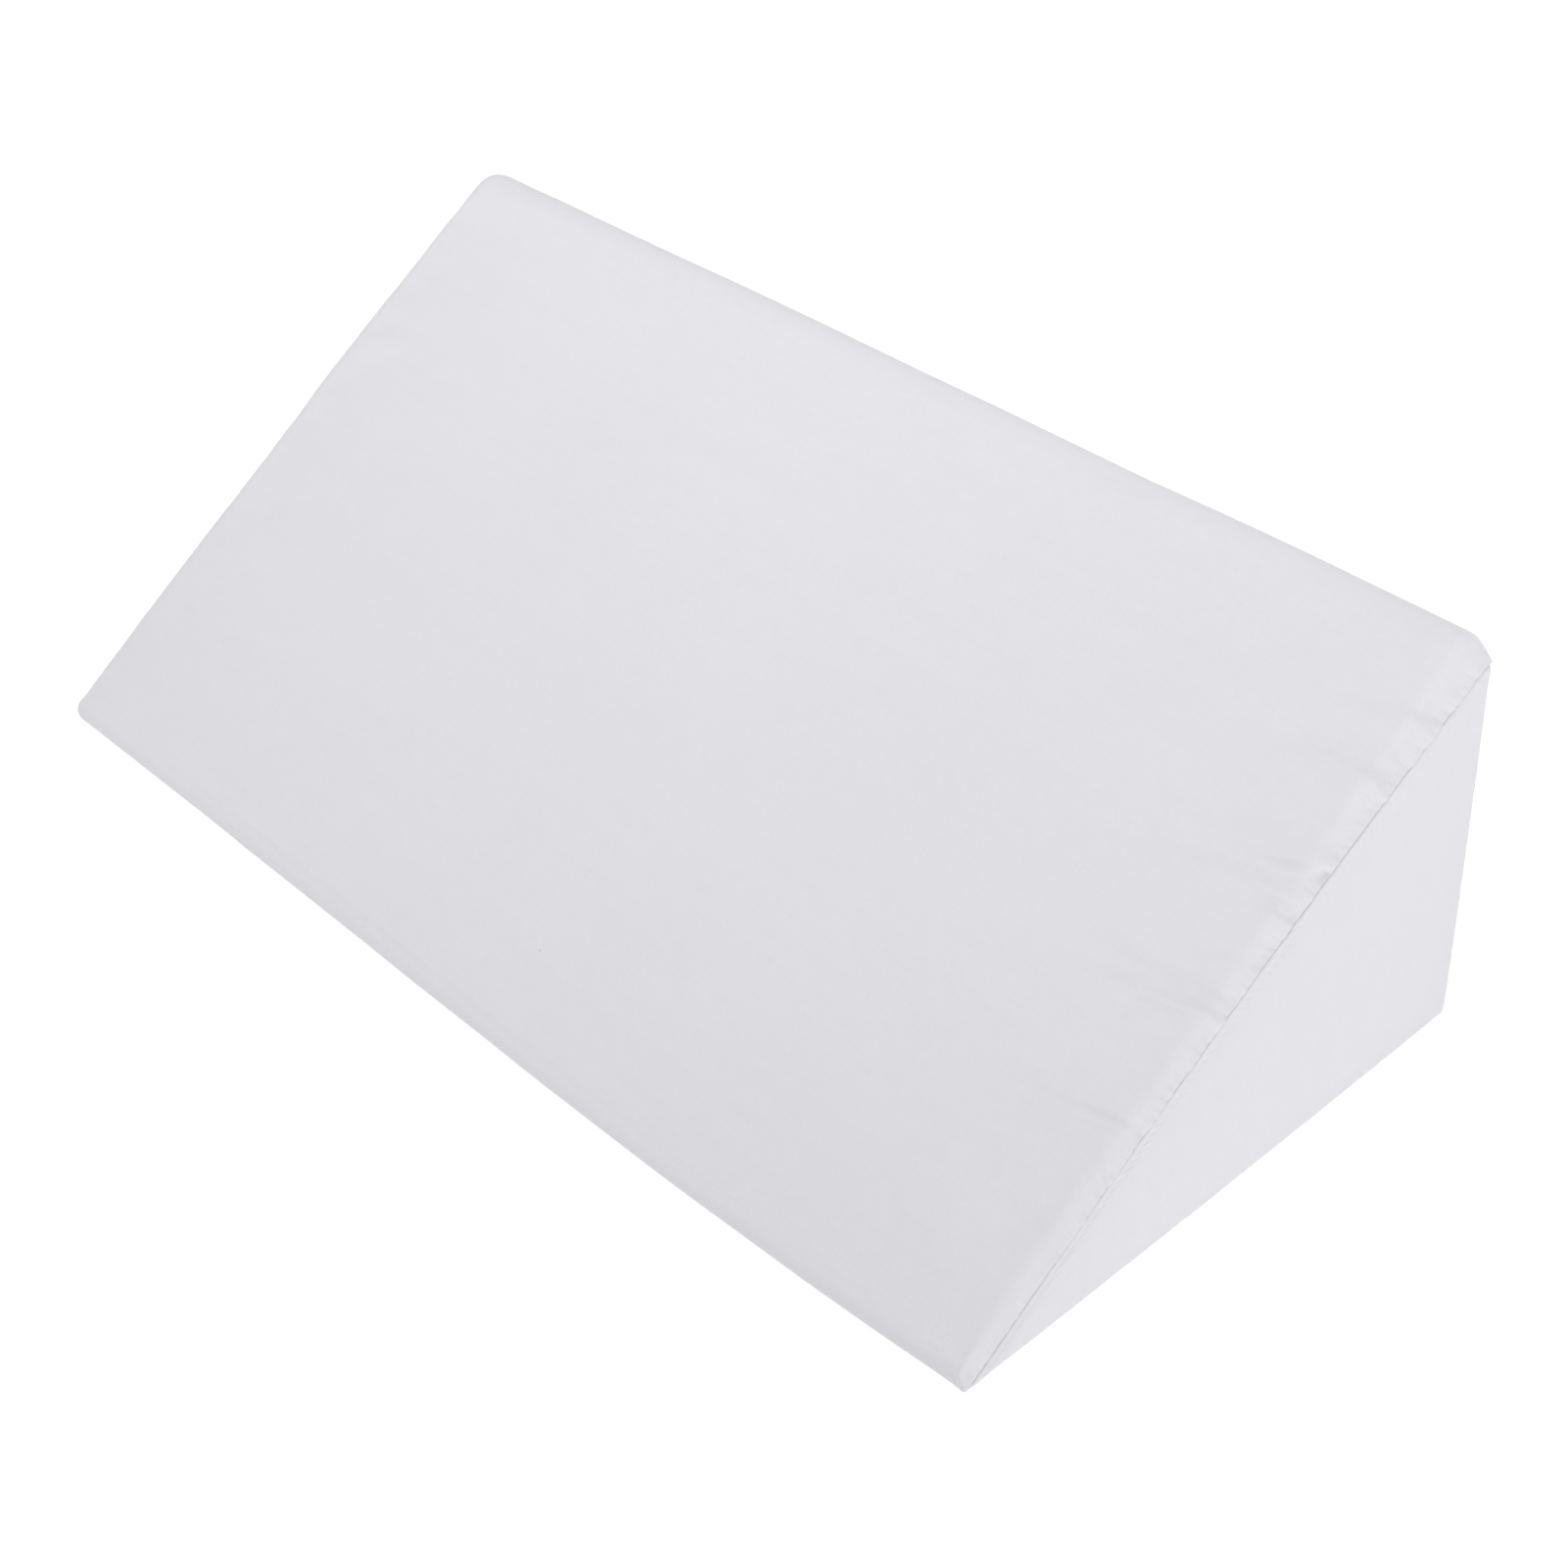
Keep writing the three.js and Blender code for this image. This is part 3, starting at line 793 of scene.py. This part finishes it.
def make_stitches(name, side):
    """The machine stitches along one end's seam, as short sunken capsules of thread."""
    sides = STITCH_SIDES
    shares = np.array(STITCH_PLACES)
    widths = np.array(STITCH_WIDTHS) * STITCH_RADIUS
    flat = beside_seam(-SEAM_GAP / 2)
    closed = np.concatenate([flat, flat[:1]])
    starts = STITCH_STARTS[:, None] + (REAL_PITCH - STITCH_LENGTH) / 2
    along = (starts + shares * STITCH_LENGTH) % SEAM_ALONG[-1]
    places = np.stack([np.interp(along, SEAM_ALONG, closed[:, axis]) for axis in (0, 1)], axis=-1)
    depths = np.broadcast_to(STITCH_DEPTH + STITCH_DIP * (2 * shares - 1) ** 4, along.shape)
    paths = place(turned(places.reshape(-1, 2), depths.ravel()), side).reshape(*along.shape, 3)
    faces_out = place(turned(places.reshape(-1, 2), depths.ravel() - 1), side).reshape(paths.shape)
    points, faces = [], []
    for path, above in zip(paths, faces_out):
        run = path[-1] - path[0]
        run = run / np.linalg.norm(run)
        out = above[len(above) // 2] - path[len(path) // 2]
        across = np.cross(run, out)
        first = len(points)
        for centre, width in zip(path, widths):
            for corner in range(sides):
                angle = side * 2 * math.pi * corner / sides
                points.append(centre + width * (out * math.cos(angle) + across * math.sin(angle)))
        for row in range(len(shares) - 1):
            for corner in range(sides):
                low = first + row * sides
                near, far = low + corner, low + (corner + 1) % sides
                faces.append((near, near + sides, far + sides, far))
        tail = first + (len(shares) - 1) * sides
        faces.append(tuple(range(first, first + sides)))
        faces.append(tuple(range(tail + sides - 1, tail - 1, -1)))
    mesh = bpy.data.meshes.new(name)
    mesh.from_pydata((np.array(points) * MM).tolist(), [], faces)
    mesh.shade_smooth()
    mesh.update()
    piece = bpy.data.objects.new(name, mesh)
    bpy.context.scene.collection.objects.link(piece)
    return piece


# Materials

# The weave: its threads' pitch, then the scales of its slubs along and across the thread, of
# its streaks, of its fuzz and of its mottling, per metre
THREAD_PITCH = 0.42
SLUB_SCALES = (110.0, 1300.0)
STREAK_SCALES = (9.0, 160.0)
FUZZ_SCALE = 650.0
MOTTLE_SCALE = 14.0
# How much each darkens the cloth, and what is added so that its colour stays the same
SLUB_SHADE = 0.035
FUZZ_SHADE = 0.03
STREAK_SHADE = 0.022
MOTTLE_SHADE = 0.02
BASE_SHADE = 0.943
SHADE_OFFSET = 0.036
CLOTH_COLOUR = (0.733, 0.725, 0.762)
# The end panels' cloth is the wrap's own cloth painted a little lighter: painted light for the
# brighter light that falls on the ends
PANEL_PAINTED_LIGHT_COLOUR = (0.742, 0.735, 0.772)
THREAD_COLOUR = (0.733, 0.725, 0.762)
CLOTH_ROUGHNESS = 0.9
SHEEN = 0.25
# Small dark flecks in the slope's cloth: the place along the cushion, the distance from the
# toe up the slope, the radius and the strength
FLECKS = ((26.7, 28.9, 0.55, 0.35), (-3.4, 252.0, 0.6, 0.15))


def new_material(name):
    material = bpy.data.materials.new(name)
    material.use_nodes = True
    material.node_tree.nodes.clear()
    return material, material.node_tree


def add_node(tree, kind, inputs=None, **settings):
    """A node with its settings, and its inputs set to values or linked to other sockets."""
    node = tree.nodes.new(kind)
    for key, value in settings.items():
        setattr(node, key, value)
    for key, value in (inputs or {}).items():
        if isinstance(value, bpy.types.NodeSocket):
            tree.links.new(value, node.inputs[key])
        else:
            node.inputs[key].default_value = value
    return node


def maths(tree, operation, first, second=0.0):
    """The output of a Math node."""
    node = add_node(tree, "ShaderNodeMath", {0: first, 1: second}, operation=operation)
    return node.outputs[0]


def stretched(tree, x, y, scale_x=1.0, scale_y=1.0):
    """A vector of two values, each times a scale of its own."""
    if scale_x != 1.0:
        x = maths(tree, "MULTIPLY", x, scale_x)
    if scale_y != 1.0:
        y = maths(tree, "MULTIPLY", y, scale_y)
    return add_node(tree, "ShaderNodeCombineXYZ", {0: x, 1: y}).outputs[0]


def noise_value(tree, vector, scale, detail=2.0):
    node = add_node(
        tree, "ShaderNodeTexNoise", {"Vector": vector, "Scale": scale, "Detail": detail}
    )
    return node.outputs[0]


def cloth_material(name, colour, flecks=()):
    """Fine white plain weave: crossing threads, slubs, faint mottling and soft sheen."""
    material, tree = new_material(name)
    place = add_node(tree, "ShaderNodeUVMap", uv_map=CLOTH_MAP).outputs[0]
    split = add_node(tree, "ShaderNodeSeparateXYZ", {0: place})
    u, v = split.outputs[0], split.outputs[1]
    threads = 1 / (THREAD_PITCH * MM)
    warp = maths(tree, "SINE", maths(tree, "MULTIPLY", u, math.pi * threads))
    weft = maths(tree, "SINE", maths(tree, "MULTIPLY", v, math.pi * threads))
    crossing = maths(tree, "MULTIPLY", warp, weft)
    pillow = maths(tree, "SQRT", maths(tree, "ABSOLUTE", crossing))
    weave = maths(tree, "MULTIPLY_ADD", crossing, 0.25)
    tree.links.new(pillow, weave.node.inputs[2])
    along_u = noise_value(tree, stretched(tree, u, v, *SLUB_SCALES), 1.0)
    along_v = noise_value(tree, stretched(tree, u, v, *SLUB_SCALES[::-1]), 1.0)
    slubs = maths(tree, "ADD", along_u, along_v)
    fuzz = noise_value(tree, stretched(tree, u, v), FUZZ_SCALE, 3.0)
    streaks = noise_value(tree, stretched(tree, u, v, *STREAK_SCALES), 1.0, 3.0)
    mottle = noise_value(tree, stretched(tree, u, v), MOTTLE_SCALE, 3.0)

    shade = maths(tree, "MULTIPLY_ADD", slubs, SLUB_SHADE)
    shade.node.inputs[2].default_value = BASE_SHADE
    for value, amount in ((fuzz, FUZZ_SHADE), (streaks, STREAK_SHADE), (mottle, MOTTLE_SHADE)):
        shade = maths(tree, "ADD", shade, maths(tree, "MULTIPLY", value, amount))
    shade = maths(tree, "SUBTRACT", shade, SHADE_OFFSET)
    for fleck_u, fleck_v, radius, strength in flecks:
        centre = (fleck_u * MM, fleck_v * MM, 0.0)
        away = add_node(tree, "ShaderNodeVectorMath", {0: place, 1: centre}, operation="DISTANCE")
        spot = add_node(
            tree, "ShaderNodeMapRange",
            {"Value": away.outputs["Value"], "From Min": 0.0, "From Max": radius * MM,
             "To Min": strength, "To Max": 0.0},
            interpolation_type="SMOOTHSTEP",
        )
        shade = maths(tree, "SUBTRACT", shade, spot.outputs[0])
    tinted = add_node(
        tree, "ShaderNodeVectorMath", {0: colour, "Scale": shade}, operation="SCALE"
    ).outputs[0]

    bump = add_node(
        tree, "ShaderNodeBump", {"Height": weave, "Distance": 0.05 * MM, "Strength": 0.6}
    )
    bump = add_node(
        tree, "ShaderNodeBump",
        {"Height": maths(tree, "ADD", slubs, fuzz), "Distance": 0.07 * MM, "Strength": 0.5,
         "Normal": bump.outputs[0]},
    )
    shader = add_node(
        tree, "ShaderNodeBsdfPrincipled",
        {"Base Color": tinted, "Roughness": CLOTH_ROUGHNESS, "Normal": bump.outputs[0],
         "Sheen Weight": SHEEN, "Sheen Roughness": 0.5, "Specular IOR Level": 0.15},
    )
    add_node(tree, "ShaderNodeOutputMaterial", {"Surface": shader.outputs[0]})
    return material


def thread_material(name, colour):
    """Twisted sewing thread, with its ply as fine slanting bands."""
    material, tree = new_material(name)
    place = add_node(tree, "ShaderNodeTexCoord").outputs["Object"]
    bands = add_node(
        tree, "ShaderNodeTexWave", {"Vector": place, "Scale": 900.0, "Distortion": 1.5},
        bands_direction="DIAGONAL",
    ).outputs[1]
    shade = maths(tree, "MULTIPLY_ADD", bands, 0.12)
    shade.node.inputs[2].default_value = 0.88
    tinted = add_node(
        tree, "ShaderNodeVectorMath", {0: colour, "Scale": shade}, operation="SCALE"
    ).outputs[0]
    bump = add_node(
        tree, "ShaderNodeBump", {"Height": bands, "Distance": 0.05 * MM, "Strength": 0.5}
    )
    shader = add_node(
        tree, "ShaderNodeBsdfPrincipled",
        {"Base Color": tinted, "Roughness": 0.7, "Normal": bump.outputs[0], "Sheen Weight": 0.2},
    )
    add_node(tree, "ShaderNodeOutputMaterial", {"Surface": shader.outputs[0]})
    return material


def floor_material():
    """A pale floor that gives off much of its own light, so that it looks white."""
    material, tree = new_material("floor_pale")
    shader = add_node(
        tree, "ShaderNodeBsdfPrincipled",
        {"Base Color": (0.3, 0.3, 0.3, 1.0), "Roughness": 1.0, "Specular IOR Level": 0.0,
         "Emission Color": (1.0, 1.0, 1.0, 1.0), "Emission Strength": 0.8},
    )
    add_node(tree, "ShaderNodeOutputMaterial", {"Surface": shader.outputs[0]})
    return material


# Camera, lights and floor

# The camera's place is measured from the middle of the sharp wedge's box
CAMERA_OFFSET = (643.36, -518.95, 588.5)
CAMERA_AZIMUTH = 48.554
CAMERA_ELEVATION = 37.69
CAMERA_ROLL = -2.885
CAMERA_LENS = 65.1
SENSOR_WIDTH = 36.0

# The soft studio light: the world's, and how much more of it comes from two sides
WORLD_LIGHT = 0.075
WORLD_RIGHT = (1.0, 0.0, 0.0)
WORLD_FROM_RIGHT = 0.28
WORLD_FRONT = (0.0, -1.0, 0.0)
WORLD_FROM_FRONT = 0.52
# Square soft lights: their places in metres and their powers in watts
LIGHT_SIZE = 0.7
LIGHTS = {
    "top_light": ((0.0, -0.35, 1.1), 4.75),
    "upper_light": ((0.1, 0.1, 1.0), 1.65),
    "left_light": ((-1.2, -0.5, 0.9), 4.0),
    "far_left_light": ((-1.2, 0.1, 1.0), 1.8),
    "right_light": ((1.3, 0.1, 0.4), 5.2),
    "back_light": ((0.0, 1.3, 0.7), 5.5),
}
FLOOR_REACH = 12.0


def make_camera():
    """The camera at the photo's viewing angle."""
    azimuth = math.radians(CAMERA_AZIMUTH)
    elevation = math.radians(CAMERA_ELEVATION)
    back = Vector((
        math.sin(azimuth) * math.cos(elevation),
        -math.cos(azimuth) * math.cos(elevation),
        math.sin(elevation),
    ))
    level = Vector((math.cos(azimuth), math.sin(azimuth), 0))
    turn = Matrix.Rotation(math.radians(CAMERA_ROLL), 3, back)
    right = turn @ level
    up = turn @ back.cross(level)
    middle = Vector((0, DEPTH / 2 - MIDDLE_Y, HEIGHT / 2))
    data = bpy.data.cameras.new("camera")
    data.lens = CAMERA_LENS
    data.sensor_width = SENSOR_WIDTH
    data.clip_start = 0.01
    data.clip_end = 100
    camera = bpy.data.objects.new("camera", data)
    rotation = Matrix((right, up, back)).transposed().to_4x4()
    camera.matrix_world = Matrix.Translation((middle + Vector(CAMERA_OFFSET)) * MM) @ rotation
    bpy.context.scene.collection.objects.link(camera)
    bpy.context.scene.camera = camera


def add_area_light(name, place, size, power):
    """A square soft light, in metres and watts, that points at the cushion."""
    data = bpy.data.lights.new(name, "AREA")
    data.size = size
    data.energy = power
    light = bpy.data.objects.new(name, data)
    light.location = place
    light.rotation_euler = (-Vector(place)).to_track_quat("-Z", "Y").to_euler()
    bpy.context.scene.collection.objects.link(light)


def studio_world():
    """Soft light from all around, a little more of it from the right and from the front."""
    world = bpy.data.worlds.new("studio")
    world.use_nodes = True
    tree = world.node_tree
    direction = add_node(tree, "ShaderNodeTexCoord").outputs["Generated"]
    strength = WORLD_LIGHT
    for towards, amount in ((WORLD_RIGHT, WORLD_FROM_RIGHT), (WORLD_FRONT, WORLD_FROM_FRONT)):
        facing = add_node(
            tree, "ShaderNodeVectorMath", {0: direction, 1: towards}, operation="DOT_PRODUCT"
        ).outputs["Value"]
        share = maths(tree, "MULTIPLY", maths(tree, "MAXIMUM", facing, 0.0), amount)
        strength = maths(tree, "ADD", share, strength)
    tree.links.new(strength, tree.nodes["Background"].inputs["Strength"])
    tree.nodes["Background"].inputs["Color"].default_value = (1.0, 1.0, 1.0, 1.0)
    bpy.context.scene.world = world


def make_stage():
    """The plain studio: its world, its soft lights and its floor."""
    studio_world()
    for name, (spot, power) in LIGHTS.items():
        add_area_light(name, spot, LIGHT_SIZE, power)
    mesh = bpy.data.meshes.new("floor")
    reach = FLOOR_REACH
    corners = [(-reach, -reach, 0), (reach, -reach, 0), (reach, reach, 0), (-reach, reach, 0)]
    mesh.from_pydata(corners, [], [(0, 1, 2, 3)])
    floor = bpy.data.objects.new("floor", mesh)
    floor.data.materials.append(floor_material())
    bpy.context.scene.collection.objects.link(floor)
    bpy.context.scene.view_settings.view_transform = "Standard"


def place_flecks():
    """The flecks' places on the cloth, turned into the weave's own measure."""
    return [(x, ARC_LENGTH[-1] - from_toe, radius, strength)
            for x, from_toe, radius, strength in FLECKS]


make_camera()
make_stage()

wrap = make_wrap()
wrap.data.materials.append(cloth_material("wrap_weave", CLOTH_COLOUR, place_flecks()))
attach(wrap, "root")
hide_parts("filled_wedge")

# The panels get the wrap's cloth painted a little lighter, as painted light on the ends
panel_painted_light_cloth = cloth_material("panel_weave_painted_light", PANEL_PAINTED_LIGHT_COLOUR)
thread = thread_material("seam_thread", THREAD_COLOUR)
for side, end in ((-1, "left"), (1, "right")):
    panel = make_panel(f"end_cloth_{end}", side, PANEL_SEEDS[side])
    panel.data.materials.append(panel_painted_light_cloth)
    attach(panel, "root")
    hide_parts(f"end_panel_{end}")
    stitches = make_stitches(f"seam_stitches_{end}", side)
    stitches.data.materials.append(thread)
    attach(stitches, "root")
